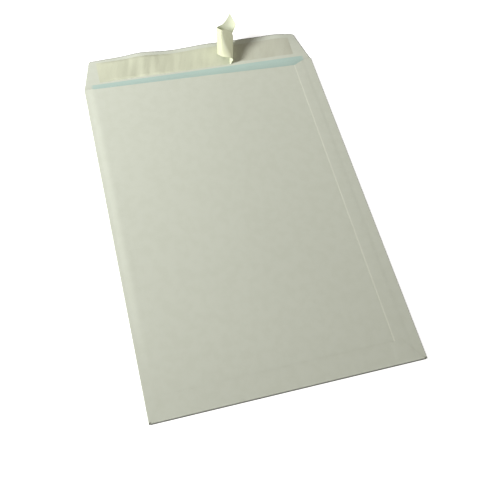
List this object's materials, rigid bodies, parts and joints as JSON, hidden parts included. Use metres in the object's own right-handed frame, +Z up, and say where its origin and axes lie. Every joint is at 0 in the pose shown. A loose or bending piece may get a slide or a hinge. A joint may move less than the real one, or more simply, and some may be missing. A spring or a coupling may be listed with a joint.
{
  "type": "self-seal pocket envelope",
  "caption": "Paper pocket envelope lying on its face with side seam, bottom flap, crowned seal flap folded open and a release liner peeled into a curl.",
  "frame": {"origin": "middle of the address face, which is the underside of the front panel that the envelope lies on", "axes": "+Y along the pocket's height towards the seal flap, +X to the right seen from the back side, +Z up out of the back side"},
  "size_m": [0.229, 0.3648, 0.0308],
  "materials": {
    "paper": "uncoated off-white paper, matt",
    "liner": "smooth silicone-coated release paper",
    "adhesive": "clear tacky film over the paper",
    "glue": "dried clear seam glue"
  },
  "bodies": {
    "envelope": {"front_panel": "paper", "left_fold": "paper", "right_fold": "paper", "bottom_fold": "paper", "back_panel": "paper", "side_seam_flap": "paper", "side_seam_glue": "glue", "bottom_flap": "paper", "bottom_flap_glue": "glue"},
    "flap": {"seal_flap": "paper", "seal_adhesive": "adhesive"},
    "liner": {"release_liner": "liner", "liner_tail": "liner"}
  },
  "joints": [
    {"name": "flap_fold", "type": "hinge", "parent": "envelope", "child": "flap", "pos_m": [0, 0.162, 0.00072], "axis": [1, 0, 0], "range_deg": [0, 180], "deforming": ["liner_tail"]},
    {"name": "liner_pull", "type": "slide", "parent": "flap", "child": "liner", "axis": [-1, 0, 0], "range_m": [0, 0.16]}
  ]
}
